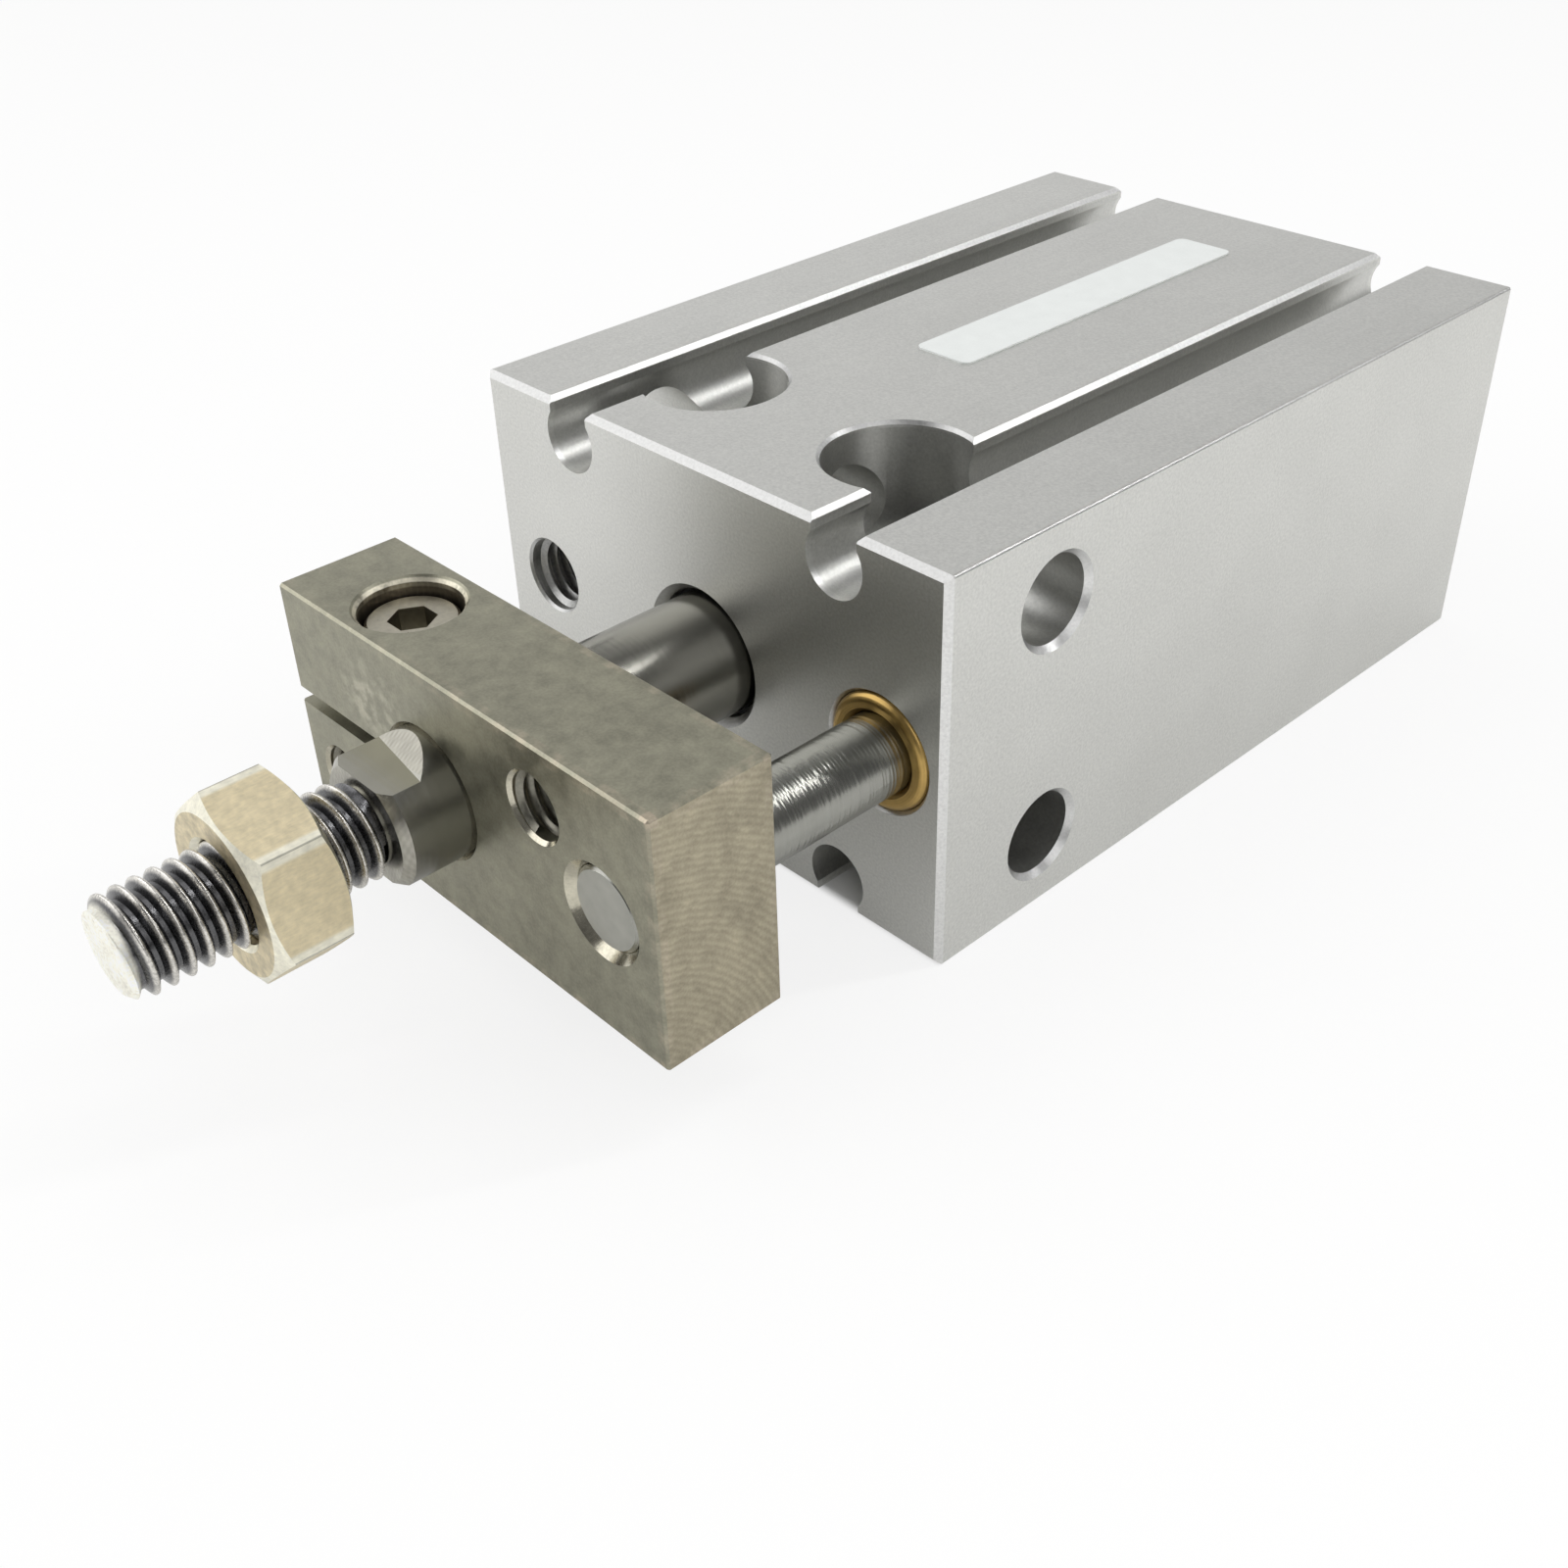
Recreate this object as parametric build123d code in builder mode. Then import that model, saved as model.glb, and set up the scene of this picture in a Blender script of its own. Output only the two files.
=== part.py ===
from build123d import *
import os
from math import radians, sqrt, tan

os.makedirs("parts", exist_ok=True)

# All sizes are in millimetres and degrees. The origin lies on the bottom face, midway between the two
# upright mounting holes. +X is towards the guide rod, +Y towards the rear and +Z up. The rod points to -Y.

# Cylinder
stroke = 10
bore_diameter = 20
rod_diameter = 8

# Body block
body_width = 40
body_height = 26
end_bevel = 0.4
long_edge_radius = 0.2
front_wall = 19
cover_length = 7.9
rear_recess = 1.8

# Switch grooves, two in the top face and two in the bottom face
groove_edge_distance = 8.4
groove_diameter = 4.4
groove_centre_depth = 2.2
groove_mouth = 3.5
groove_lip_bevel = 0.3

# Mounting holes through the front wall, upright and crosswise
mount_inset = 9
upright_pitch = 16
cross_pitch = 16
mount_hole_diameter = 5.5
mount_hole_bevel = 0.35
counterbore_diameter = 9.3
counterbore_depth = 8
counterbore_bevel = 0.2

# Threaded holes of the body, at the thread's outer diameter
front_thread_edge_distance = 5
front_thread_diameter = 5
front_thread_depth = 10
port_thread_diameter = 5
port_thread_depth = 6
port_orifice = 2
port_setback = 2.2
thread_mouth_bevel = 0.15

# Rod passage, from the front face to the bore
rod_mouth_play = 0.3
rod_mouth_bevel = 0.5
seal_wall = 1.4
rod_seal_diameter = 12
rod_seal_length = 3
rod_bush_diameter = 10.4
rod_bush_length = 6

# Guide rod and its bushes
guide_edge_distance = 5
guide_diameter = 5
guide_end_bevel = 0.2
guide_end_recess = 0.3
guide_bush_diameter = 7.5
guide_bush_length = 10
guide_bush_gap = 12
guide_bush_proud = 0.2
guide_bush_rounding = 0.6
guide_bush_inner_bevel = 0.3
guide_mouth_bevel = 0.2
guide_tunnel_diameter = 6
guide_overrun = 0.5

# Piston, bumpers and rear closure
piston_play = 0.2
piston_nose_diameter = 17
piston_nose_length = 1.5
piston_front_length = 5.5
piston_rear_length = 6.5
piston_hub_diameter = 10
piston_bevel = 0.2
piston_seal_length = 1.8
piston_seal_depth = 2
wear_ring_length = 2.5
wear_ring_depth = 0.8
magnet_length = 3
magnet_inset = 1.2
spigot_diameter = 5
spigot_engagement = 1.5
piston_screw_diameter = 3
piston_screw_length = 9
piston_screw_recess = 3.5
bumper_thickness = 1
front_bumper_inner = 11.5
front_bumper_outer = 16
rear_bumper_diameter = 12
end_gap = 0.1
retaining_ring_thickness = 1
retaining_ring_width = 1.6
retaining_ring_depth = 0.6
retaining_ring_gap = 50
retaining_ring_lug = 3
retaining_ring_eye = 1.3
cover_ring_section = 1.6
cover_ring_squeeze = 0.05
cover_ring_bevel = 0.4
cover_ring_inset = 2

# Piston rod outside the body, in the retracted position
plate_gap = 12
rod_overhang = 4.25
shoulder_bevel = 0.5
flat_across = 6
flat_length = 2.65
flat_ramp = 1.2
flat_turn = -9
thread_diameter = 6
thread_length = 15
thread_tip_bevel = 0.6
thread_relief_diameter = 4.7
thread_relief_length = 1.3

# Guide plate, clamped round the rod
plate_thickness = 8
plate_height = 16
plate_clamp_side = 13.5
plate_guide_margin = 4.5
plate_edge_bevel = 0.15
plate_bore_bevel = 0.25
plate_guide_bevel = 0.5
slit_height = 1
slit_rise = 0.6
plate_thread_diameter = 4
plate_thread_offset = 10
plate_thread_rise = 4
plate_thread_bevel = 0.2

# Clamp screw and the socket that both socket screws share
clamp_screw_edge_distance = 7.5
clamp_screw_diameter = 3
clamp_screw_length = 10
clamp_screw_recess = 1
clamp_counterbore_play = 0.3
clamp_counterbore_bevel = 0.3
screw_head_ratio = 5.5 / 3
screw_socket_ratio = 2.5 / 3
screw_socket_depth_ratio = 0.5
screw_head_bevel = 0.2
screw_hole_play = 0.2

# Rod-end nut
nut_across_flats = 10
nut_thickness = 4.6
nut_stand_off = 3.95
nut_turn = -17
nut_face_diameter = 9.5
nut_bevel_angle = 30
nut_mouth_bevel = 0.3

# Sticker on the top face
label_width = 4.5
label_length = 28.5
label_thickness = 0.1
label_corner = 0.6
label_inset = 21.4
label_offset = -0.2

# Radial clearances of the fits
running_play = 0.03
seat_play = 0.01
thread_play = 0.04

# Stations along the rod
axis_height = body_height / 2
guide_offset = body_width / 2 - guide_edge_distance
front_y = -mount_inset
chamber_front = front_y + front_wall
piston_length = piston_front_length + magnet_length + piston_rear_length
chamber_length = stroke + piston_length + 2 * (bumper_thickness + end_gap)
chamber_rear = chamber_front + chamber_length
cover_rear = chamber_rear + cover_length
retaining_ring_groove = retaining_ring_thickness + end_gap
rear_y = cover_rear + retaining_ring_groove + rear_recess
body_length = rear_y - front_y
piston_rear_y = chamber_rear - bumper_thickness - end_gap
magnet_rear_y = piston_rear_y - piston_rear_length
magnet_front_y = magnet_rear_y - magnet_length
piston_front_y = magnet_front_y - piston_front_length
guide_seat_depth = 2 * guide_bush_length + guide_bush_gap - guide_bush_proud
plate_rear_y = front_y - plate_gap
plate_front_y = plate_rear_y - plate_thickness
plate_middle_y = (plate_front_y + plate_rear_y) / 2
shoulder_y = plate_front_y - rod_overhang
tip_y = shoulder_y - thread_length


def across_rod(y, x=0, rise=0):
    """Plane across the rod at y, facing the rod's free end, with its centre x and rise from the rod's axis."""
    return Plane(origin=(x, y, axis_height + rise), x_dir=(1, 0, 0), z_dir=(0, -1, 0))


def facing_side(side, y, rise=0):
    """Plane on the body's side face, looking outwards, where side is 1 for +X and -1 for -X."""
    return Plane(origin=(side * body_width / 2, y, axis_height + rise), x_dir=(0, side, 0), z_dir=(side, 0, 0))


def ring_solid(y, length, outer_diameter, inner_diameter, x=0):
    """Ring round an axis along Y, from y towards the rear."""
    with BuildPart() as ring:
        with BuildSketch(across_rod(y, x)):
            Circle(outer_diameter / 2)
            Circle(inner_diameter / 2, mode=Mode.SUBTRACT)
        extrude(amount=-length)
    return ring.part


def groove_section():
    """Section of one switch groove, with its mouth at the origin and open towards +Y."""
    with BuildSketch() as section:
        with Locations((0, -groove_centre_depth)):
            Circle(groove_diameter / 2)
        with Locations((0, -groove_centre_depth / 2)):
            Rectangle(groove_mouth, groove_centre_depth)
        with BuildLine():
            Polyline(
                (-groove_mouth / 2 - groove_lip_bevel, 0),
                (-groove_mouth / 2, -groove_lip_bevel),
                (groove_mouth / 2, -groove_lip_bevel),
                (groove_mouth / 2 + groove_lip_bevel, 0),
                close=True,
            )
        make_face()
    return section.sketch


def socket_screw(diameter, length):
    """Socket head screw that points down, with the underside of its head at the origin."""
    head_diameter = diameter * screw_head_ratio
    socket_across = diameter * screw_socket_ratio
    socket_depth = diameter * screw_socket_depth_ratio
    with BuildPart() as screw:
        with BuildSketch():
            Circle(head_diameter / 2)
        extrude(amount=diameter)
        chamfer(screw.edges().sort_by(Axis.Z)[-1], screw_head_bevel)
        with BuildSketch():
            Circle(diameter / 2)
        extrude(amount=-length)
        chamfer(screw.edges().sort_by(Axis.Z)[0], screw_head_bevel)
        with BuildSketch(Plane.XY.offset(diameter)):
            RegularPolygon(socket_across / 2, 6, major_radius=False)
        extrude(amount=-socket_depth, mode=Mode.SUBTRACT)
    return screw.part


# Body block: grooves run its whole length, and the bore is closed from the rear by the cover.
with BuildPart() as body:
    with BuildSketch(across_rod(front_y)):
        Rectangle(body_width, body_height)
    extrude(amount=-body_length)
    chamfer(body.faces().filter_by(Axis.Y).edges(), end_bevel)
    fillet(body.edges().filter_by(Axis.Y), long_edge_radius)

    with BuildSketch(across_rod(front_y)):
        groove_offset = body_width / 2 - groove_edge_distance
        for x in (-groove_offset, groove_offset):
            with Locations(Location((x, body_height / 2, 0), (0, 0, 0))):
                add(groove_section())
            with Locations(Location((x, -body_height / 2, 0), (0, 0, 180))):
                add(groove_section())
    extrude(amount=-body_length, mode=Mode.SUBTRACT)

    with BuildSketch(across_rod(chamber_front)):
        Circle(bore_diameter / 2)
    extrude(amount=-body_length, mode=Mode.SUBTRACT)
    with BuildSketch(across_rod(cover_rear)):
        Circle(bore_diameter / 2 + retaining_ring_depth)
    extrude(amount=-retaining_ring_groove, mode=Mode.SUBTRACT)

    rod_mouth_radius = rod_diameter / 2 + rod_mouth_play
    with Locations(across_rod(front_y)):
        CounterSinkHole(rod_mouth_radius, rod_mouth_radius + rod_mouth_bevel, front_wall)
    with BuildSketch(across_rod(front_y + seal_wall)):
        Circle(rod_seal_diameter / 2)
    extrude(amount=-rod_seal_length, mode=Mode.SUBTRACT)
    with BuildSketch(across_rod(chamber_front)):
        Circle(rod_bush_diameter / 2 + seat_play)
    extrude(amount=rod_bush_length, mode=Mode.SUBTRACT)

    guide_seat_radius = guide_bush_diameter / 2 + seat_play
    with Locations(across_rod(front_y, guide_offset)):
        CounterSinkHole(guide_seat_radius, guide_seat_radius + guide_mouth_bevel, guide_seat_depth)
        Hole(guide_tunnel_diameter / 2, body_length)

    thread_radius = front_thread_diameter / 2
    with Locations(across_rod(front_y, front_thread_edge_distance - body_width / 2)):
        CounterSinkHole(thread_radius, thread_radius + thread_mouth_bevel, front_thread_depth)
    port_radius = port_thread_diameter / 2
    for port_y in (chamber_front + port_setback, chamber_rear - port_setback):
        with Locations(facing_side(-1, port_y)):
            CounterSinkHole(port_radius, port_radius + thread_mouth_bevel, port_thread_depth)
            Hole(port_orifice / 2, body_width / 2)

    counterbore_radius = counterbore_diameter / 2
    for x in (-upright_pitch / 2, upright_pitch / 2):
        with Locations((x, 0, body_height)):
            Hole(mount_hole_diameter / 2)
            CounterSinkHole(counterbore_radius, counterbore_radius + counterbore_bevel, counterbore_depth)
    mouth_radius = mount_hole_diameter / 2
    for rise in (-cross_pitch / 2, cross_pitch / 2):
        for side in (-1, 1):
            with Locations(facing_side(side, 0, rise)):
                CounterSinkHole(mouth_radius, mouth_radius + mount_hole_bevel, body_width / 2)
body.part.label = "body"
export_step(body.part, "parts/body.step")

# Rod seal: rubber ring snapped into the groove behind the front face.
with BuildPart() as rod_seal:
    add(
        ring_solid(
            front_y + seal_wall,
            rod_seal_length,
            rod_seal_diameter - 2 * seat_play,
            rod_diameter + 2 * running_play,
        )
    )
rod_seal.part.label = "rod_seal"
export_step(rod_seal.part, "parts/rod_seal.step")

# Rod bush: plain bearing, pressed in from the bore.
with BuildPart() as rod_bush:
    add(
        ring_solid(
            chamber_front - rod_bush_length,
            rod_bush_length,
            rod_bush_diameter,
            rod_diameter + 2 * running_play,
        )
    )
rod_bush.part.label = "rod_bush"
export_step(rod_bush.part, "parts/rod_bush.step")

# Guide bushes: the front one has a rounded lip that stands a little proud of the body's face.
with BuildPart() as guide_bush_front:
    add(
        ring_solid(
            front_y - guide_bush_proud,
            guide_bush_length,
            guide_bush_diameter,
            guide_diameter + 2 * running_play,
            guide_offset,
        )
    )
    lip_edges = guide_bush_front.faces().sort_by(Axis.Y)[0].edges().sort_by(SortBy.LENGTH)
    fillet(lip_edges[-1], guide_bush_rounding)
    lip_edges = guide_bush_front.faces().sort_by(Axis.Y)[0].edges().sort_by(SortBy.LENGTH)
    chamfer(lip_edges[0], guide_bush_inner_bevel)
guide_bush_front.part.label = "guide_bush_front"
export_step(guide_bush_front.part, "parts/guide_bush_front.step")

with BuildPart() as guide_bush_rear:
    add(
        ring_solid(
            front_y + guide_seat_depth - guide_bush_length,
            guide_bush_length,
            guide_bush_diameter,
            guide_diameter + 2 * running_play,
            guide_offset,
        )
    )
guide_bush_rear.part.label = "guide_bush_rear"
export_step(guide_bush_rear.part, "parts/guide_bush_rear.step")

# Bumpers: rubber rings that stop the piston at both ends.
with BuildPart() as bumper_front:
    add(ring_solid(chamber_front, bumper_thickness, front_bumper_outer, front_bumper_inner))
bumper_front.part.label = "bumper_front"
export_step(bumper_front.part, "parts/bumper_front.step")

with BuildPart() as bumper_rear:
    with BuildSketch(across_rod(chamber_rear - bumper_thickness)):
        Circle(rear_bumper_diameter / 2)
    extrude(amount=-bumper_thickness)
bumper_rear.part.label = "bumper_rear"
export_step(bumper_rear.part, "parts/bumper_rear.step")

# Head cover: plug that closes the bore, with a groove for its rubber ring.
cover_radius = bore_diameter / 2 - seat_play
cover_groove_length = cover_ring_section + 2 * cover_ring_squeeze
cover_groove_front = chamber_rear + cover_ring_inset
cover_groove_radius = bore_diameter / 2 - cover_ring_section
with BuildPart() as head_cover:
    with BuildSketch(across_rod(chamber_rear)):
        Circle(cover_radius)
    extrude(amount=chamber_rear - cover_rear)
    chamfer(head_cover.edges(), end_bevel)
    with BuildSketch(across_rod(cover_groove_front)):
        Circle(cover_radius)
        Circle(cover_groove_radius, mode=Mode.SUBTRACT)
    extrude(amount=-cover_groove_length, mode=Mode.SUBTRACT)
head_cover.part.label = "head_cover"
export_step(head_cover.part, "parts/head_cover.step")

with BuildPart() as head_cover_ring:
    add(
        ring_solid(
            cover_groove_front + cover_ring_squeeze,
            cover_ring_section,
            bore_diameter - 2 * cover_ring_squeeze,
            2 * (cover_groove_radius + cover_ring_squeeze),
        )
    )
    chamfer(head_cover_ring.edges(), cover_ring_bevel)
head_cover_ring.part.label = "head_cover_ring"
export_step(head_cover_ring.part, "parts/head_cover_ring.step")

# Retaining ring: open spring ring with two lugs, in the groove behind the cover.
retaining_ring_radius = bore_diameter / 2 + retaining_ring_depth - seat_play
lug_circle = bore_diameter / 2 - retaining_ring_width
gap_reach = bore_diameter
with BuildPart() as retaining_ring:
    with BuildSketch(across_rod(cover_rear)):
        Circle(retaining_ring_radius)
        Circle(bore_diameter / 2 - retaining_ring_width, mode=Mode.SUBTRACT)
        with BuildLine():
            Polyline(
                (0, 0),
                (gap_reach * tan(radians(retaining_ring_gap / 2)), gap_reach),
                (-gap_reach * tan(radians(retaining_ring_gap / 2)), gap_reach),
                close=True,
            )
        make_face(mode=Mode.SUBTRACT)
        with PolarLocations(lug_circle, 2, 90 - retaining_ring_gap / 2, retaining_ring_gap, endpoint=True):
            Circle(retaining_ring_lug / 2)
            Circle(retaining_ring_eye / 2, mode=Mode.SUBTRACT)
    extrude(amount=-retaining_ring_thickness)
retaining_ring.part.label = "retaining_ring"
export_step(retaining_ring.part, "parts/retaining_ring.step")

# Sticker: bare foil on the top face, between the two grooves.
with BuildPart() as label:
    with BuildSketch(Plane.XY.offset(body_height)):
        with Locations((label_offset, front_y + label_inset + label_length / 2)):
            RectangleRounded(label_width, label_length, label_corner)
    extrude(amount=label_thickness)
label.part.label = "label"
export_step(label.part, "parts/label.step")

# Piston rod: ground steel, with wrench flats and a threaded end in front and a spigot in the piston.
rod_radius = rod_diameter / 2
thread_outer_radius = thread_diameter / 2
spigot_end = magnet_rear_y + spigot_engagement
with BuildPart() as piston_rod:
    with BuildSketch(across_rod(shoulder_y)):
        Circle(rod_radius)
    extrude(amount=shoulder_y - piston_front_y)
    chamfer(piston_rod.edges().sort_by(Axis.Y)[0], shoulder_bevel)

    flat_plane = across_rod(shoulder_y).rotated((0, 0, flat_turn))
    flat_profile_plane = Plane(origin=flat_plane.origin, x_dir=(0, 1, 0), z_dir=flat_plane.x_dir)
    with BuildSketch(flat_profile_plane):
        for face_side in (-1, 1):
            with BuildLine():
                Polyline(
                    (-shoulder_bevel, face_side * flat_across / 2),
                    (flat_length, face_side * flat_across / 2),
                    (flat_length + flat_ramp, face_side * rod_radius),
                    (flat_length + flat_ramp, face_side * rod_diameter),
                    (-shoulder_bevel, face_side * rod_diameter),
                    close=True,
                )
            make_face()
    extrude(amount=rod_diameter, both=True, mode=Mode.SUBTRACT)

    with BuildSketch(across_rod(tip_y)):
        Circle(thread_outer_radius)
    extrude(amount=tip_y - shoulder_y)
    chamfer(piston_rod.edges().sort_by(Axis.Y)[0], thread_tip_bevel)
    with BuildSketch(across_rod(shoulder_y)):
        Circle(thread_outer_radius)
        Circle(thread_relief_diameter / 2, mode=Mode.SUBTRACT)
    extrude(amount=thread_relief_length, mode=Mode.SUBTRACT)

    with BuildSketch(across_rod(piston_front_y)):
        Circle(spigot_diameter / 2)
    extrude(amount=piston_front_y - spigot_end)
    with BuildSketch(across_rod(spigot_end)):
        Circle(piston_screw_diameter / 2 + seat_play)
    extrude(amount=piston_screw_length, mode=Mode.SUBTRACT)
piston_rod.part.label = "piston_rod"
export_step(piston_rod.part, "parts/piston_rod.step")

# Piston: two halves with the magnet ring between them, drawn onto the rod's spigot by one screw.
piston_radius = bore_diameter / 2 - piston_play
with BuildPart() as piston_front:
    with BuildSketch(across_rod(piston_front_y)):
        Circle(piston_nose_diameter / 2)
    extrude(amount=-piston_nose_length)
    with BuildSketch(across_rod(piston_front_y + piston_nose_length)):
        Circle(piston_radius)
    extrude(amount=piston_nose_length - piston_front_length)
    with BuildSketch(across_rod(magnet_front_y)):
        Circle(piston_hub_diameter / 2)
    extrude(amount=-magnet_length)
    seal_front_y = (piston_front_y + piston_nose_length + magnet_front_y - piston_seal_length) / 2
    with BuildSketch(across_rod(seal_front_y)):
        Circle(piston_radius)
        Circle(piston_radius - piston_seal_depth, mode=Mode.SUBTRACT)
    extrude(amount=-piston_seal_length, mode=Mode.SUBTRACT)
    with Locations(across_rod(piston_front_y)):
        Hole(spigot_diameter / 2 + seat_play, piston_length)
piston_front.part.label = "piston_front"
export_step(piston_front.part, "parts/piston_front.step")

with BuildPart() as piston_seal:
    add(
        ring_solid(
            seal_front_y + seat_play,
            piston_seal_length - 2 * seat_play,
            bore_diameter - 2 * running_play,
            2 * (piston_radius - piston_seal_depth + seat_play),
        )
    )
piston_seal.part.label = "piston_seal"
export_step(piston_seal.part, "parts/piston_seal.step")

with BuildPart() as magnet:
    magnet_diameter = bore_diameter - 2 * magnet_inset
    add(ring_solid(magnet_front_y, magnet_length, magnet_diameter, piston_hub_diameter + 2 * seat_play))
magnet.part.label = "magnet"
export_step(magnet.part, "parts/magnet.step")

wear_ring_y = magnet_rear_y + (piston_rear_length - piston_nose_length - wear_ring_length) / 2
with BuildPart() as piston_rear:
    with BuildSketch(across_rod(magnet_rear_y)):
        Circle(piston_radius)
    extrude(amount=piston_nose_length - piston_rear_length)
    with BuildSketch(across_rod(piston_rear_y)):
        Circle(piston_nose_diameter / 2)
    extrude(amount=piston_nose_length)
    with BuildSketch(across_rod(wear_ring_y)):
        Circle(piston_radius)
        Circle(piston_radius - wear_ring_depth, mode=Mode.SUBTRACT)
    extrude(amount=-wear_ring_length, mode=Mode.SUBTRACT)
    with Locations(across_rod(magnet_rear_y)):
        Hole(spigot_diameter / 2 + seat_play, spigot_engagement)
        Hole(piston_screw_diameter / 2 + screw_hole_play, piston_length)
    with BuildSketch(across_rod(piston_rear_y)):
        Circle(piston_screw_diameter * screw_head_ratio / 2 + screw_hole_play)
    extrude(amount=piston_screw_recess, mode=Mode.SUBTRACT)
piston_rear.part.label = "piston_rear"
export_step(piston_rear.part, "parts/piston_rear.step")

with BuildPart() as wear_ring:
    add(
        ring_solid(
            wear_ring_y + seat_play,
            wear_ring_length - 2 * seat_play,
            bore_diameter - 2 * running_play,
            2 * (piston_radius - wear_ring_depth + seat_play),
        )
    )
wear_ring.part.label = "wear_ring"
export_step(wear_ring.part, "parts/wear_ring.step")

with BuildPart() as piston_screw:
    with Locations(across_rod(piston_rear_y - piston_screw_recess).location * Location((0, 0, 0), (180, 0, 0))):
        add(socket_screw(piston_screw_diameter, piston_screw_length))
piston_screw.part.label = "piston_screw"
export_step(piston_screw.part, "parts/piston_screw.step")

# Guide plate: steel block, slit from its end to the rod's bore so that the clamp screw can close it.
clamp_head_radius = clamp_screw_diameter * screw_head_ratio / 2
clamp_counterbore_radius = clamp_head_radius + clamp_counterbore_play
clamp_counterbore_depth = clamp_screw_recess + clamp_screw_diameter
clamp_screw_x = clamp_screw_edge_distance - plate_clamp_side
plate_top = axis_height + plate_height / 2
plate_width = plate_clamp_side + guide_offset + plate_guide_margin
plate_centre_x = plate_width / 2 - plate_clamp_side
with BuildPart() as guide_plate:
    with BuildSketch(across_rod(plate_front_y, plate_centre_x)):
        Rectangle(plate_width, plate_height)
    extrude(amount=-plate_thickness)
    chamfer(guide_plate.edges(), plate_edge_bevel)

    bore_radius = rod_radius + seat_play
    guide_radius = guide_diameter / 2 + seat_play
    with Locations(across_rod(plate_front_y)):
        CounterSinkHole(bore_radius, bore_radius + plate_bore_bevel, plate_thickness)
    with Locations(across_rod(plate_front_y, guide_offset)):
        CounterSinkHole(guide_radius, guide_radius + plate_guide_bevel, plate_thickness)
    tap_radius = plate_thread_diameter / 2
    for side in (-1, 1):
        with Locations(across_rod(plate_front_y, side * plate_thread_offset, side * plate_thread_rise)):
            CounterSinkHole(tap_radius, tap_radius + plate_thread_bevel, plate_thickness)

    with BuildSketch(across_rod(plate_front_y, -plate_clamp_side / 2, slit_rise)):
        Rectangle(plate_clamp_side, slit_height)
    extrude(amount=-plate_thickness, mode=Mode.SUBTRACT)

    with Locations((clamp_screw_x, plate_middle_y, plate_top)):
        CounterSinkHole(
            clamp_counterbore_radius,
            clamp_counterbore_radius + clamp_counterbore_bevel,
            clamp_counterbore_depth,
        )
        Hole(clamp_screw_diameter / 2 + seat_play, plate_height)
guide_plate.part.label = "guide_plate"
export_step(guide_plate.part, "parts/guide_plate.step")

with BuildPart() as clamp_screw:
    with Locations((clamp_screw_x, plate_middle_y, plate_top - clamp_counterbore_depth)):
        add(socket_screw(clamp_screw_diameter, clamp_screw_length))
clamp_screw.part.label = "clamp_screw"
export_step(clamp_screw.part, "parts/clamp_screw.step")

# Guide rod: pressed into the plate, long enough to stay in the rear bush over the whole stroke.
guide_front_y = plate_front_y + guide_end_recess
guide_rear_y = front_y + guide_seat_depth + stroke + guide_overrun
with BuildPart() as guide_rod:
    with BuildSketch(across_rod(guide_front_y, guide_offset)):
        Circle(guide_diameter / 2)
    extrude(amount=guide_front_y - guide_rear_y)
    chamfer(guide_rod.edges().group_by(Axis.Y)[0], guide_end_bevel)
    chamfer(guide_rod.edges().group_by(Axis.Y)[-1], guide_end_bevel)
guide_rod.part.label = "guide_rod"
export_step(guide_rod.part, "parts/guide_rod.step")

# Rod-end nut: hexagon turned down to a bevel on both faces.
nut_rear_y = shoulder_y - nut_stand_off
nut_corner_radius = nut_across_flats / sqrt(3)
nut_bevel_depth = (nut_corner_radius - nut_face_diameter / 2) * tan(radians(nut_bevel_angle))
nut_bore_radius = thread_outer_radius + thread_play
with BuildPart() as rod_end_nut:
    with BuildSketch(across_rod(nut_rear_y)):
        RegularPolygon(nut_across_flats / 2, 6, major_radius=False, rotation=nut_turn)
    extrude(amount=nut_thickness)
    with BuildSketch(Plane.YZ):
        with BuildLine():
            Polyline(
                (nut_rear_y, axis_height),
                (nut_rear_y, axis_height + nut_face_diameter / 2),
                (nut_rear_y - nut_bevel_depth, axis_height + nut_corner_radius),
                (nut_rear_y - nut_thickness + nut_bevel_depth, axis_height + nut_corner_radius),
                (nut_rear_y - nut_thickness, axis_height + nut_face_diameter / 2),
                (nut_rear_y - nut_thickness, axis_height),
                close=True,
            )
        make_face()
    revolve(axis=Axis((0, 0, axis_height), (0, 1, 0)), mode=Mode.INTERSECT)
    with Locations(across_rod(nut_rear_y - nut_thickness)):
        CounterSinkHole(nut_bore_radius, nut_bore_radius + nut_mouth_bevel, nut_thickness)
rod_end_nut.part.label = "rod_end_nut"
export_step(rod_end_nut.part, "parts/rod_end_nut.step")
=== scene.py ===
from math import pi, radians, sqrt

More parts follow.
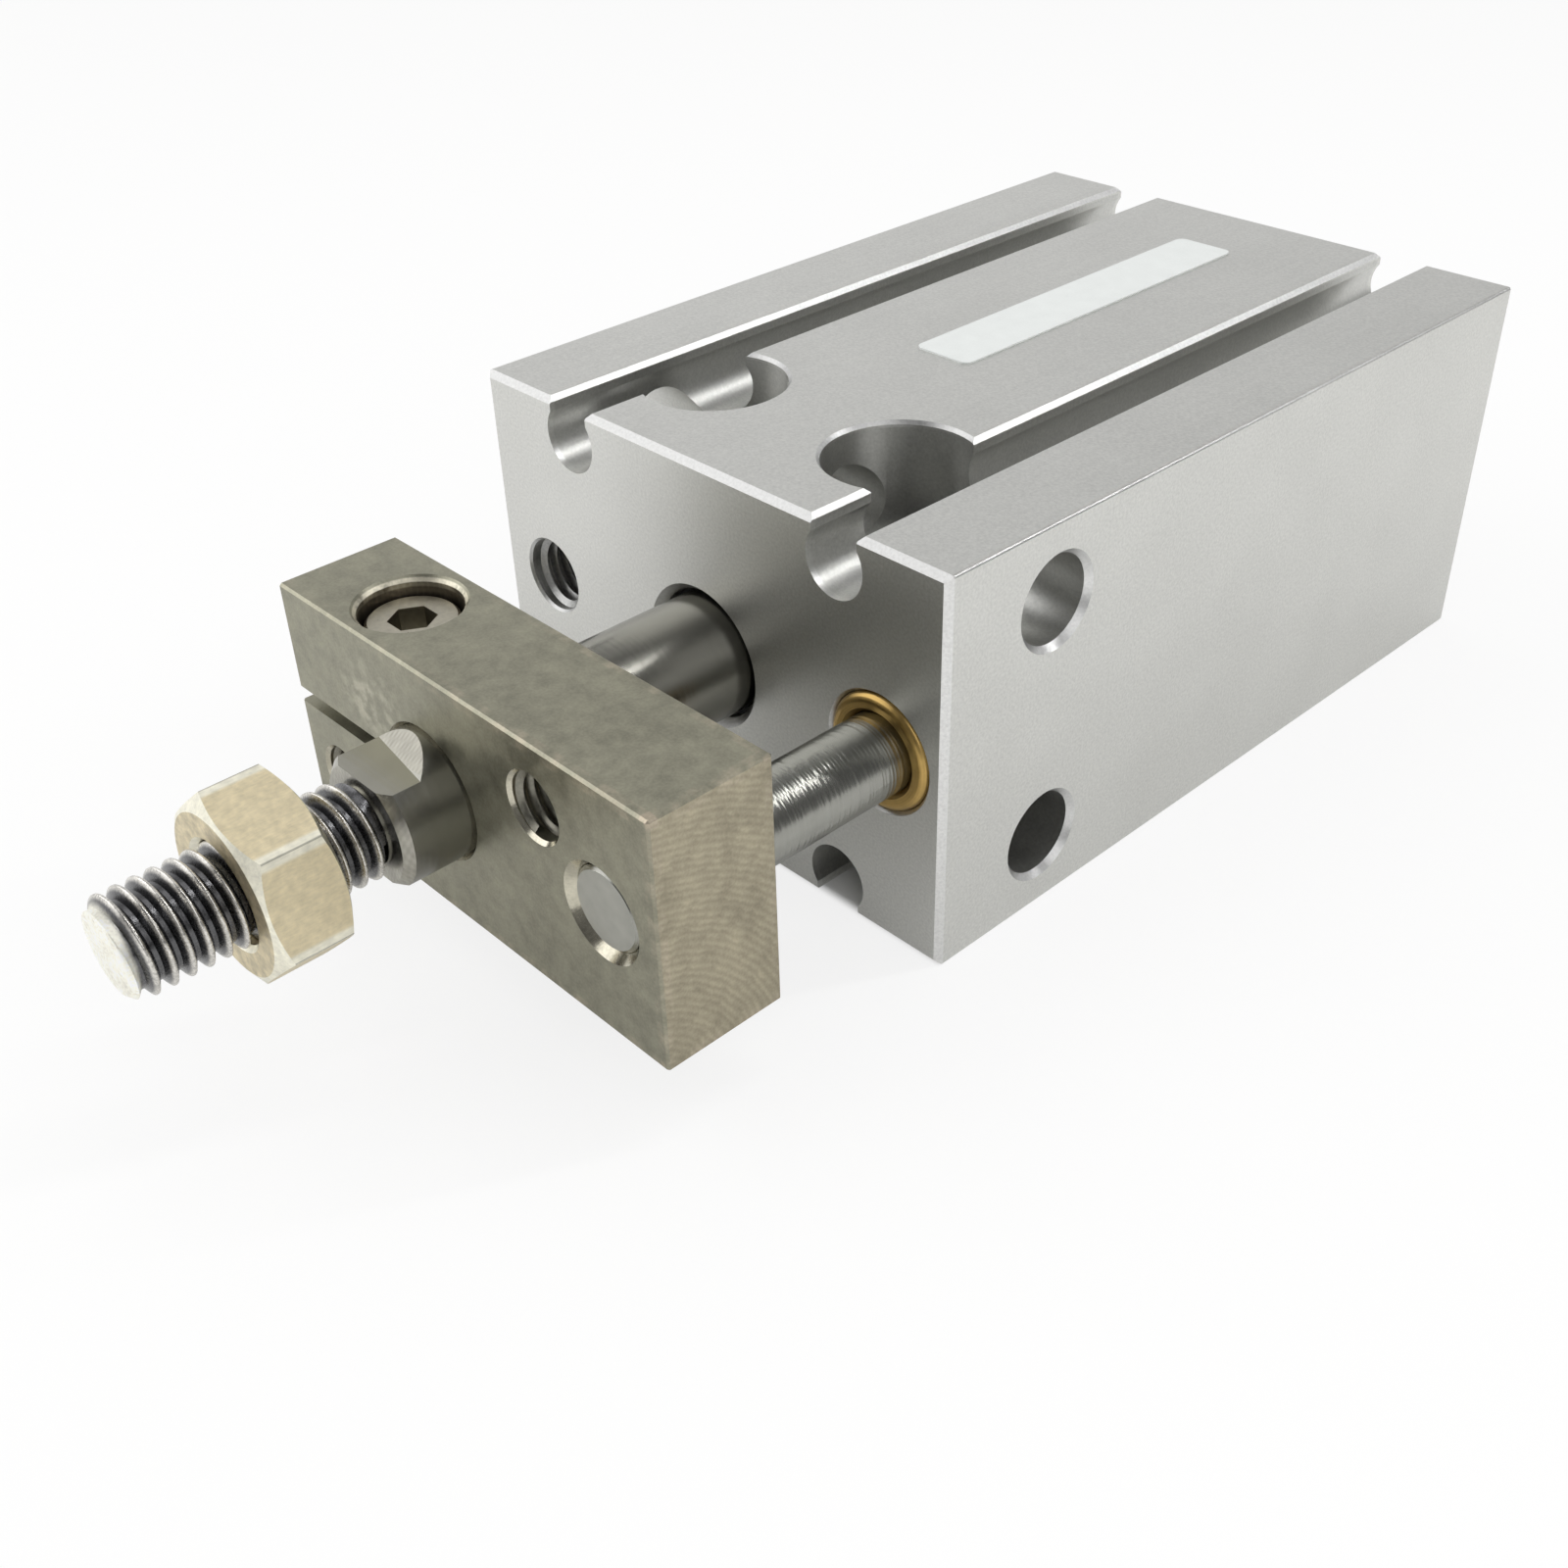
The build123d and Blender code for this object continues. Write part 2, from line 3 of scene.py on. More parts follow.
import bmesh
import bpy
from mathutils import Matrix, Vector


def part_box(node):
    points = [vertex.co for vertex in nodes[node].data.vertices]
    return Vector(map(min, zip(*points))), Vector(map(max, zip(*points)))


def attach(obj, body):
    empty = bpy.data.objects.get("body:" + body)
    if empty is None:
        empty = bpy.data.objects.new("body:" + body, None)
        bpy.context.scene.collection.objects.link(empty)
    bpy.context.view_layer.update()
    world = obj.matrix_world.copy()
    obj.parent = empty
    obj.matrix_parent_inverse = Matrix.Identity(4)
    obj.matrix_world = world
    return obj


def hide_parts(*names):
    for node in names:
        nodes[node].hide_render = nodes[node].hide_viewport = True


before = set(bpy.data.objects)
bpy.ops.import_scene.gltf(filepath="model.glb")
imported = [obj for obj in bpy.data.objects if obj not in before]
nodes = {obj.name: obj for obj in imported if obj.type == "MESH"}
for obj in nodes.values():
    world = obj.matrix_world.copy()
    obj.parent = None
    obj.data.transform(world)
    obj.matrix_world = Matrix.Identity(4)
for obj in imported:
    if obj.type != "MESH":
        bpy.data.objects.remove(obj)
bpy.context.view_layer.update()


# Camera: a close view from the front right and above, in a square picture that the object fills. Its
# place and lens were solved from straight edges of the body.
mm = 0.001
camera_data = bpy.data.cameras.new("camera")
camera_data.lens = 40.972
camera_data.sensor_width = 36
camera_data.clip_start = 0.005
camera = bpy.data.objects.new("camera", camera_data)
camera.location = Vector((72.827, -68.981, 69.907)) * mm
camera.rotation_euler = (radians(54.6916), radians(1.5600), radians(46.5351))
bpy.context.scene.collection.objects.link(camera)
bpy.context.scene.camera = camera
bpy.context.scene.view_settings.view_transform = "Standard"


# Studio: a pale tabletop inside a light tent. The camera sees the tent as white, polished metal mirrors
# one that darkens upwards and to the right, and the table still takes the object's shadow.
class Wire:
    """A node's socket in Python expressions: every operator adds the Math node that it stands for."""

    def __init__(self, finish, socket):
        self.finish = finish
        self.socket = socket

    def __add__(self, other):
        return self.finish.maths("ADD", self, other)

    def __radd__(self, other):
        return self.finish.maths("ADD", other, self)

    def __sub__(self, other):
        return self.finish.maths("SUBTRACT", self, other)

    def __rsub__(self, other):
        return self.finish.maths("SUBTRACT", other, self)

    def __mul__(self, other):
        return self.finish.maths("MULTIPLY", self, other)

    def __rmul__(self, other):
        return self.finish.maths("MULTIPLY", other, self)

    def __pow__(self, other):
        return self.finish.maths("POWER", self, other)

    def __abs__(self):
        return self.finish.maths("ABSOLUTE", self)


class Finish:
    """A node tree with one method for its nodes, and short forms of those that the finishes share."""

    def __init__(self, tree):
        self.tree = tree

    def node(self, kind, settings=None, values=None, out=0):
        made = self.tree.nodes.new(kind)
        for name, setting in (settings or {}).items():
            setattr(made, name, setting)
        for name, value in (values or {}).items():
            self.join(made.inputs[name], value)
        return Wire(self, made.outputs[out])

    def join(self, entry, value):
        if isinstance(value, Wire):
            self.tree.links.new(value.socket, entry)
        else:
            entry.default_value = value

    def maths(self, operation, *values):
        return self.node("ShaderNodeMath", {"operation": operation}, dict(enumerate(values)))

    def larger(self, first, second):
        return self.maths("MAXIMUM", first, second)

    def waves(self, value, rate):
        """A wave from -1 to 1 that turns by this many radians where the value grows by 1."""
        return self.maths("SINE", value * rate)

    def step(self, value, low, high):
        """0 where the value is at or under low, 1 at or over high, and smooth between."""
        settings = {"interpolation_type": "SMOOTHSTEP"}
        return self.node("ShaderNodeMapRange", settings, {"Value": value, "From Min": low, "From Max": high})

    def mix(self, factor, first, second):
        """A mix of two colours, whose sockets on the node are numbers 6 and 7."""
        values = {0: factor, 6: first, 7: second}
        return self.node("ShaderNodeMix", {"data_type": "RGBA"}, values, out=2)

    def shade(self, colour, factor):
        """The colour made lighter or darker by a factor that changes over the surface."""
        settings = {"operation": "SCALE"}
        return self.node("ShaderNodeVectorMath", settings, {0: colour, "Scale": factor})

    def parts(self, vector):
        """The three components of a vector."""
        first = self.node("ShaderNodeSeparateXYZ", {}, {0: vector})
        return [Wire(self, socket) for socket in first.socket.node.outputs]

    def noise(self, size, place, detail=2.0, stretch=(1, 1, 1)):
        """Noise with spots of about this size in millimetres, drawn out by stretch along each axis."""
        along = tuple(1.0 / (size * each) for each in stretch)
        place = self.node("ShaderNodeMapping", {}, {"Vector": place, "Scale": along})
        return self.node("ShaderNodeTexNoise", {}, {"Vector": place, "Scale": 1.0, "Detail": detail})


def distance(first, second):
    """How far a point lies from an axis, from its two offsets square to the axis."""
    return (first * first + second * second) ** 0.5


white = (1, 1, 1, 1)
tent_pale_low = (0.74, 0.74, 0.73, 1)
tent_pale_high = (0.60, 0.60, 0.59, 1)
tent_mirrored_dark = (0.13, 0.13, 0.13, 1)
tent_world = bpy.data.worlds.new("tent")
bpy.context.scene.world = tent_world
tent_world.use_nodes = True
tent = Finish(tent_world.node_tree)
tent_seen = tent.node("ShaderNodeLightPath", out="Is Camera Ray")
tent_mirrored = tent.larger(
    tent.node("ShaderNodeLightPath", out="Is Glossy Ray"),
    tent.node("ShaderNodeLightPath", out="Is Transmission Ray"),
)
tent_right, tent_back, tent_up = tent.parts(tent.node("ShaderNodeTexCoord"))
tent_light = tent.mix(tent.step(tent_up, -0.3, 0.9), tent_pale_low, tent_pale_high)
tent_slope = tent_up + tent_right * 0.7 - tent_back * 0.3
tent_range = {"Value": tent_slope, "From Min": -0.6, "From Max": 0.65}
tent_shade = tent.node("ShaderNodeMapRange", {}, tent_range)
tent_mirror_image = tent.mix(tent_shade, white, tent_mirrored_dark)
tent_unseen = tent.mix(tent_mirrored, tent_light, tent_mirror_image)
tent_background = tent_world.node_tree.nodes["Background"]
tent.join(tent_background.inputs["Color"], tent.mix(tent_seen, tent_unseen, white))

table_half_width = 1.5
table_mesh = bmesh.new()
bmesh.ops.create_grid(table_mesh, x_segments=1, y_segments=1, size=table_half_width)
table_data = bpy.data.meshes.new("table")
table_mesh.to_mesh(table_data)
table_mesh.free()
table = bpy.data.objects.new("table", table_data)
bpy.context.scene.collection.objects.link(table)
table_material = bpy.data.materials.new("table")
table_material.use_nodes = True
table_finish = Finish(table_material.node_tree)
table_shader = table_material.node_tree.nodes["Principled BSDF"]
table_shader.inputs["Base Color"].default_value = (0.86, 0.86, 0.86, 1)
table_shader.inputs["Roughness"].default_value = 0.9
table_glow = table_finish.node("ShaderNodeEmission", {}, {"Color": white, "Strength": 1.0})
table_seen = table_finish.node("ShaderNodeLightPath", out="Is Camera Ray")
table_mirrored = table_finish.node("ShaderNodeLightPath", out="Is Glossy Ray")
table_x, table_y, _ = table_finish.parts(table_finish.node("ShaderNodeTexCoord", out="Object"))
table_far = table_finish.step(distance(table_x, table_y), 0.2, 0.7)
# Under the body the table doesn't glow, so that the mouths of the lower grooves stay dark.
past_body = []
for table_place, body_low, body_high in zip((table_x, table_y), *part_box("body")):
    from_middle = abs(table_place - (body_low + body_high) / 2)
    body_half = (body_high - body_low) / 2
    past_body.append(table_finish.step(from_middle, body_half - 1 * mm, body_half))
table_open = table_finish.larger(*past_body)
table_glowing = table_seen * table_open * (0.8 + table_far * 0.2) + table_mirrored * 0.01
table_values = {0: table_glowing, 1: Wire(table_finish, table_shader.outputs[0]), 2: table_glow}
table_surface = table_finish.node("ShaderNodeMixShader", {}, table_values)
table_finish.join(table_material.node_tree.nodes["Material Output"].inputs["Surface"], table_surface)
table_data.materials.append(table_material)


def soft_lamp(name, place, aim, width, height, power):
    """A rectangular lamp at a place in millimetres, facing the point aim."""
    lamp_data = bpy.data.lights.new(name, "AREA")
    lamp_data.shape = "RECTANGLE"
    lamp_data.size = width * mm
    lamp_data.size_y = height * mm
    lamp_data.energy = power
    lamp = bpy.data.objects.new(name, lamp_data)
    lamp.location = Vector(place) * mm
    lamp.rotation_euler = (Vector(aim) - Vector(place)).to_track_quat("-Z", "Y").to_euler()
    bpy.context.scene.collection.objects.link(lamp)


soft_lamp("front_lamp", place=(-300, -265, 265), aim=(0, 0, 13), width=440, height=440, power=0.86)
soft_lamp("side_lamp", place=(300, -90, 230), aim=(60, 0, 0), width=300, height=300, power=0.34)
soft_lamp("top_lamp", place=(112, 160, 330), aim=(15, -15, 13), width=18, height=420, power=0.4)
soft_lamp("nut_lamp", place=(-120, 50, 380), aim=(0, -39, 17), width=170, height=170, power=0.1)


# Body block: an aluminium extrusion, cut to length, drilled and bored, then blasted and clear anodised.
# Its top and grooves keep the lengthwise lines of the die. The bevels at its ends are bright cuts, and their
# pale colour is partly a painted highlight; where they slope between the top and an end face they are
# painted darker, as shade. Inside the grooves and holes the colour is painted a little darker, as shade.
rod_height = 13


def metal(name, base, metallic=1.0):
    """A new material, with its object's coordinates in millimetres and how much it faces each axis."""
    made = bpy.data.materials.new(name)
    made.use_nodes = True
    finish = Finish(made.node_tree)
    finish.material = made
    finish.shader = made.node_tree.nodes["Principled BSDF"]
    finish.shader.inputs["Metallic"].default_value = metallic
    finish.base = base
    coordinates = finish.node("ShaderNodeTexCoord", out="Object")
    scaled = {"operation": "SCALE"}
    finish.place = finish.node("ShaderNodeVectorMath", scaled, {0: coordinates, "Scale": 1000.0})
    finish.x, finish.y, finish.z = finish.parts(finish.place)
    normal = finish.parts(finish.node("ShaderNodeTexCoord", out="Normal"))
    finish.across, finish.along, finish.upright = [abs(part) for part in normal]
    return finish


def coat(finish, colour, roughness, heights, depth=0.01):
    """Feeds the shader its colour, its roughness and a bump where 1 is this many millimetres high."""
    finish.join(finish.shader.inputs["Base Color"], colour)
    finish.join(finish.shader.inputs["Roughness"], roughness)
    bump = finish.node("ShaderNodeBump", {}, {"Strength": 0.5, "Distance": depth * mm, "Height": heights})
    finish.join(finish.shader.inputs["Normal"], bump)


def middle(node):
    """The middle of a node's box, in millimetres."""
    low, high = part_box(node)
    return (low + high) / 2 / mm


def off_axis(finish, x=0.0):
    """Distance in millimetres from the line along Y at this x and the rod's height."""
    return distance(finish.x - x, finish.z - rod_height)


def near_faces(finish, node, reach):
    """For each axis, 1 at the outer faces of a node's box and 0 from this many millimetres inwards."""
    near = []
    for place, low, high in zip((finish.x, finish.y, finish.z), *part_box(node)):
        centre = (low + high) / 2 / mm
        half = (high - low) / 2 / mm
        near.append(finish.step(abs(place - centre), half - reach, half - reach * 0.8))
    return near


def dress(finish, *names):
    """Gives solids of the frame this material in place of their plain one."""
    for name in names:
        nodes[name].data.materials.clear()
        nodes[name].data.materials.append(finish.material)


anodised = metal("anodised_aluminium", (0.68, 0.68, 0.655))
grain = anodised.noise(0.18, anodised.place, detail=3.0)
clouds = anodised.noise(7.0, anodised.place)
drawn = anodised.noise(0.3, anodised.place, stretch=(1, 80, 1)) * (0.15 + anodised.upright * 0.85)
drawn = drawn * (1 - anodised.along)
bevel_width = 0.45
at_side, at_end, at_top = near_faces(anodised, "body", bevel_width)
at_skin = anodised.larger(at_end, anodised.larger(at_side, at_top))
squarest = anodised.larger(anodised.across, anodised.larger(anodised.along, anodised.upright))
bevels = at_skin * (1 - anodised.step(squarest, 0.80, 0.88))
# Painted shade: away from the outer faces, inside the grooves, bores and holes, the colour is darker.
anodised_tone = (0.70 + grain * 0.42 + clouds * 0.12 + drawn * 0.08) * (0.90 + at_skin * 0.10)
# Painted shade: bevels that slope between the top and an end face are darker.
bevel_tone = (0.74 + grain * 0.42) * (1 - anodised.along * anodised.upright * 0.6)
# The bevels are pale partly as bright cut metal and partly as a painted highlight.
bevel_cut_and_highlight_colour = anodised.shade((0.80, 0.80, 0.79), bevel_tone)
anodised_colour = anodised.mix(bevels, anodised.shade(anodised.base, anodised_tone), bevel_cut_and_highlight_colour)
coat(anodised, anodised_colour, 0.32 + grain * 0.12, grain + drawn * 0.3, 0.014)
dress(anodised, "body")


# Rod seal and rod bush: a rubber ring behind the front face, and a plain brass bearing behind it.
# The guide rod's two bushes are brass too, and the front one shows its rounded lip.
rubber = metal("black_rubber", (0.02, 0.02, 0.02), metallic=0.0)
rubber_grain = rubber.noise(0.1, rubber.place)
coat(rubber, rubber.shade(rubber.base, 0.7 + rubber_grain * 0.6), 0.5 + rubber_grain * 0.2, rubber_grain)
dress(rubber, "rod_seal")

brass = metal("turned_brass", (0.50, 0.335, 0.115))
brass_rings = brass.waves(off_axis(brass, middle("guide_rod").x), 40)
brass_spots = brass.noise(0.5, brass.place)
brass_tone = 0.80 + brass_rings * 0.06 + brass_spots * 0.35
coat(brass, brass.shade(brass.base, brass_tone), 0.24 + brass_spots * 0.16, brass_rings * 0.3, 0.006)
dress(brass, "guide_bush_front", "guide_bush_rear", "rod_bush")


# Piston: two turned aluminium halves on the rod, with a plastic magnet ring and wear ring and a rubber
# seal. It runs in the bore between two rubber bumpers, and only a cut would show it.
turned = metal("turned_aluminium", (0.60, 0.60, 0.59))
turned_rings = turned.waves(off_axis(turned), 36)
turned_spots = turned.noise(0.6, turned.place)
turned_tone = 0.85 + turned_rings * 0.05 + turned_spots * 0.2
coat(turned, turned.shade(turned.base, turned_tone), 0.28 + turned_spots * 0.12, turned_rings * 0.4, 0.006)
dress(turned, "piston_front", "piston_rear")

plastic = metal("dark_plastic", (0.07, 0.065, 0.06), metallic=0.0)
plastic_grain = plastic.noise(0.2, plastic.place)
plastic_tone = 0.8 + plastic_grain * 0.4
coat(plastic, plastic.shade(plastic.base, plastic_tone), 0.45 + plastic_grain * 0.1, plastic_grain)
dress(plastic, "magnet", "wear_ring")
dress(rubber, "piston_seal", "bumper_front", "bumper_rear")


# Head cover at the rear: a turned aluminium plug with a rubber ring, held in by a spring steel ring
# that has two eyes for its pliers.
dress(turned, "head_cover")
dress(rubber, "head_cover_ring")
spring = metal("spring_steel", (0.12, 0.12, 0.12))
spring_grain = spring.noise(0.2, spring.place)
spring_stains = spring.noise(1.5, spring.place)
spring_tone = 0.6 + spring_grain * 0.4 + spring_stains * 0.6
coat(spring, spring.shade(spring.base, spring_tone), 0.38 + spring_grain * 0.2, spring_grain)
dress(spring, "retaining_ring")


# Sticker: a bare silvery film with rounded corners, pressed onto the top between the grooves.
# Its adhesive leaves it a little uneven.
film = metal("silvery_film", (0.77, 0.795, 0.785), metallic=0.2)
film_ripples = film.noise(1.2, film.place)
film_grain = film.noise(0.15, film.place)
film_tone = 0.90 + film_ripples * 0.10 + film_grain * 0.08
film_rough = 0.36 + film_ripples * 0.12
coat(film, film.shade(film.base, film_tone), film_rough, film_ripples + film_grain * 0.2, 0.02)
dress(film, "label")


# Piston rod: ground and plated steel. Its free end has two wrench flats, then a shoulder and a rolled
# M6 thread. Its flanks are painted dark, as shade between the ridges, and its crests pale, partly as wear
# and partly as a painted highlight.
def helix(mesh, section, pitch, turns, start, centre):
    """Winds a section, given as (out, back) pairs in millimetres, about a line along Y through centre.

    It is right-handed and runs towards -Y from start, where back is measured towards -Y."""
    x, z = centre
    points = [mesh.verts.new(Vector((x + out, start - back, z)) * mm) for out, back in section]
    lines = [mesh.edges.new(pair) for pair in zip(points, points[1:])]
    steps_per_turn = 56
    steps = int(turns * steps_per_turn)
    bmesh.ops.spin(
        mesh,
        geom=points + lines,
        cent=Vector((x, start, z)) * mm,
        axis=(0, -1, 0),
        dvec=Vector((0, -pitch * turns / steps, 0)) * mm,
        angle=2 * pi * turns,
        steps=steps,
        use_merge=False,
    )
    bmesh.ops.remove_doubles(mesh, verts=mesh.verts, dist=0.0005 * mm)


def keep(mesh, y, side):
    """Cuts a mesh square to Y, keeps the part on this side, 1 for +Y and -1 for -Y, and closes the cut."""
    everything = mesh.verts[:] + mesh.edges[:] + mesh.faces[:]
    cut = bmesh.ops.bisect_plane(
        mesh, geom=everything, dist=1e-8, plane_co=(0, y * mm, 0), plane_no=(0, -side, 0), clear_outer=True
    )
    rim = [part for part in cut["geom_cut"] if isinstance(part, bmesh.types.BMEdge)]
    bmesh.ops.contextual_create(mesh, geom=rim)


def soften(mesh, angle):
    """Smooths the shading, except over edges whose faces meet at more than this angle."""
    for face in mesh.faces:
        face.smooth = True
    for edge in mesh.edges:
        edge.smooth = len(edge.link_faces) == 2 and edge.calc_face_angle() < radians(angle)


def piece(name, mesh, body, materials):
    """Makes a mesh in metres into an object that rides on a body."""
    data = bpy.data.meshes.new(name)
    mesh.to_mesh(data)
    mesh.free()
    for material in materials:
        data.materials.append(material.material)
    made = bpy.data.objects.new(name, data)
    bpy.context.scene.collection.objects.link(made)
    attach(made, body)
    return made


tip_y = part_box("piston_rod")[0].y / mm
tip_radius = 2.38
thread_length = 15
shoulder_y = tip_y + thread_length
fade_y = shoulder_y - 0.15
crest = 2.95
root = 2.36
thread_pitch = 1.0
# Half of the ridge's section, as radius and distance from the middle of its crest.
half_ridge = [(root, 0.50), (root, 0.38), (crest - 0.04, 0.09), (crest, 0.05)]
thread_section = [(out, thread_pitch / 2 - away) for out, away in half_ridge]
thread_section += [(out, thread_pitch / 2 + away) for out, away in reversed(half_ridge)]

# The ridge is wound past the shoulder and past the tip, and both ends are then cut square.
wound_from = shoulder_y + 0.6
spare_turns = 2
thread_turns = thread_length / thread_pitch + spare_turns
thread_mesh = bmesh.new()
helix(thread_mesh, thread_section, thread_pitch, thread_turns, wound_from, (0, rod_height))
keep(thread_mesh, shoulder_y - 0.05, -1)
keep(thread_mesh, tip_y, 1)

# The tip is bevelled, and the ridge fades out before the shoulder.
for vert in thread_mesh.verts:
    y = vert.co.y / mm
    out_x = vert.co.x / mm
    out_z = vert.co.z / mm - rod_height
    reach = sqrt(out_x * out_x + out_z * out_z)
    limit = min(tip_radius + (y - tip_y), root + (fade_y - y) * 1.5)
    if reach > limit:
        vert.co.x = out_x / reach * limit * mm
        vert.co.z = (rod_height + out_z / reach * limit) * mm
bmesh.ops.recalc_face_normals(thread_mesh, faces=thread_mesh.faces)
soften(thread_mesh, 50)
for face in thread_mesh.faces:
    face.material_index = 1
thread_data = bpy.data.meshes.new("thread")
thread_mesh.to_mesh(thread_data)
thread_mesh.free()

# The solid's smooth end is cut off just inside the end of the thread.
rod_mesh = bmesh.new()
rod_mesh.from_mesh(nodes["piston_rod"].data)
bmesh.ops.remove_doubles(rod_mesh, verts=rod_mesh.verts, dist=0.001 * mm)
keep(rod_mesh, shoulder_y - 0.1, 1)
bmesh.ops.dissolve_limit(rod_mesh, angle_limit=radians(0.5), verts=rod_mesh.verts, edges=rod_mesh.edges)
soften(rod_mesh, 12)
rod_mesh.from_mesh(thread_data)
bpy.data.meshes.remove(thread_data)

ground = metal("ground_steel", (0.29, 0.285, 0.255))
ground_lines = ground.noise(0.3, ground.place, detail=0.0, stretch=(20, 1, 20))
ground_clouds = ground.noise(1.4, ground.place, detail=1.0, stretch=(1, 8, 1))
ground_scratches = ground.noise(0.6, ground.place, detail=1.0, stretch=(1, 3, 1))
bevel_y = shoulder_y + 0.2
run_out_y = shoulder_y + 3.25
flats_end = shoulder_y + 3.3
slanted = ground.step(ground.along, 0.3, 0.5)
shoulder_bevel = slanted * (1 - ground.step(abs(ground.y - bevel_y), 0.35, 0.45))
run_out = slanted * (1 - ground.step(abs(ground.y - run_out_y), 0.7, 0.8))
before_run_out = 1 - ground.step(ground.y, flats_end - 0.1, flats_end + 0.1)
wrench_flats = ground.step(ground.upright, 0.97, 0.99) * before_run_out
rising_lines = ground.waves(ground.x + ground.z * 0.4, 18)
falling_lines = ground.waves(ground.x - ground.z * 0.4, 22)
hatching = rising_lines * 0.5 + falling_lines * 0.5
cut_colour = ground.shade((0.42, 0.405, 0.355), 0.70 + ground_scratches * 0.5 + hatching * 0.12)
ground_colour = ground.mix((shoulder_bevel + run_out) * 0.85, (*ground.base, 1), cut_colour)
ground_tone = 0.83 + ground_clouds * 0.2 + ground_scratches * 0.06 + wrench_flats * 0.6
coat(ground, ground.shade(ground_colour, ground_tone), 0.27 + run_out * 0.2, ground_lines, 0.01)

# Painted shade: the thread's steel is far darker than the rod's, for the shade between its ridges.
threaded = metal("threaded_steel", (0.12, 0.12, 0.125))
thread_spots = threaded.noise(0.16, threaded.place, detail=3.0)
tip_dirt = threaded.noise(0.9, threaded.place, detail=4.0)
crests = threaded.step(off_axis(threaded), crest - 0.31, crest - 0.06)
turned_tip = 1 - threaded.step(threaded.y, tip_y + 0.30, tip_y + 0.62)
# The crests are pale partly from wear and partly as a painted highlight.
worn_and_highlit_crests = crests * (0.55 + thread_spots * 0.7)
thread_colour = threaded.mix(worn_and_highlit_crests, (*threaded.base, 1), (0.66, 0.64, 0.60, 1))
thread_colour = threaded.mix(turned_tip, thread_colour, (0.97, 0.95, 0.86, 1))
thread_colour = threaded.shade(thread_colour, 0.35 + thread_spots * 0.8 + tip_dirt * 0.6)
thread_rough = 0.17 + thread_spots * 0.2 + turned_tip * 0.3
coat(threaded, thread_colour, thread_rough, thread_spots + tip_dirt * 0.5)
rod_piece = piece("threaded_rod", rod_mesh, "rod", [ground, threaded])
# The solid's stored normals don't fit the new mesh.
rod_piece.data.attributes.remove(rod_piece.data.attributes["custom_normal"])
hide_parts("piston_rod")


# Guide plate: a nickelled steel block, slit so that its screw clamps it on the rod. The faces are ground
# and mottled, the end keeps the arcs of the milling cutter, and the edges are worn pale and carry a
# painted highlight. The top is painted lighter, as light falling on it.
nickelled = metal("nickelled_steel", (0.32, 0.31, 0.24))
specks = nickelled.noise(0.16, nickelled.place)
mottle = nickelled.noise(0.9, nickelled.place, detail=4.0)
patches = nickelled.noise(3.6, nickelled.place, detail=3.0)
near_x, near_y, near_z = near_faces(nickelled, "guide_plate", 0.7)

plate_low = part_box("guide_plate")[0] / mm
cutter_y = plate_low.y - 3
cutter_z = plate_low.z - 3
cutter_feed = 0.42
cutter_reach = distance(nickelled.y - cutter_y, nickelled.z - cutter_z) + mottle * 0.5
end_face = nickelled.step(nickelled.across, 0.9, 0.95)
arcs = nickelled.waves(cutter_reach, 2 * pi / cutter_feed) * end_face * mottle

# The edges are worn most on the right, and are painted pale there also as a highlight. A patch above the
# rod is painted pale as a highlight.
worn_side = nickelled.step(nickelled.x, -8, 10) * 0.8 + 0.2
near_two = near_x * near_y + near_y * near_z + near_z * near_x
edges = near_two * nickelled.step(mottle, 0.40, 0.66) * worn_side
highlight_x = -5
highlight_z = 16.5
highlight_reach = distance(nickelled.x - highlight_x, nickelled.z - highlight_z)
painted_highlight_patch = (1 - nickelled.step(highlight_reach, 0.5, 4.0)) * nickelled.step(mottle, 0.40, 0.62)
# The bevels of the holes are painted pale as highlights. Inside the clamp screw's counterbore the colour
# is painted dark as shade, within a rim painted pale as a highlight.
off_edges = (1 - near_x) * (1 - near_z)
bevelled = nickelled.step(nickelled.along, 0.3, 0.45) * (1 - nickelled.step(nickelled.along, 0.85, 0.93))
highlit_hole_rims = near_y * off_edges * bevelled
screw_middle = middle("clamp_screw")
pocket_radius = 3.04
pocket_floor = 16
pocket_reach = distance(nickelled.x - screw_middle.x, nickelled.y - screw_middle.y)
in_pocket = 1 - nickelled.step(pocket_reach, pocket_radius, pocket_radius + 0.04)
counterbore_shade = in_pocket * nickelled.step(nickelled.z, pocket_floor, pocket_floor + 0.5)
at_rim = 1 - nickelled.step(abs(pocket_reach - (pocket_radius + 0.1)), 0.06, 0.12)
counterbore_rim_highlight = at_rim * near_z * nickelled.step(mottle, 0.30, 0.5)

plate_colour = (*nickelled.base, 1)
# Colour layers: the milled end, the worn edges with their painted highlight, the painted highlight patch,
# the painted highlights on the hole bevels, the painted shade in the counterbore and its painted rim
# highlight.
for plate_mask, plate_layer in (
    (end_face, (0.40, 0.36, 0.265)),
    (edges * 0.5, (0.44, 0.385, 0.30)),
    (painted_highlight_patch * 0.5, (0.60, 0.57, 0.47)),
    (highlit_hole_rims, (0.56, 0.53, 0.43)),
    (counterbore_shade, (0.17, 0.145, 0.115)),
    (counterbore_rim_highlight, (0.68, 0.64, 0.52)),
):
    plate_colour = nickelled.mix(plate_mask, plate_colour, (*plate_layer, 1))
plate_tone = 0.22 + specks * 0.4 + mottle * 0.6 + patches * 0.45
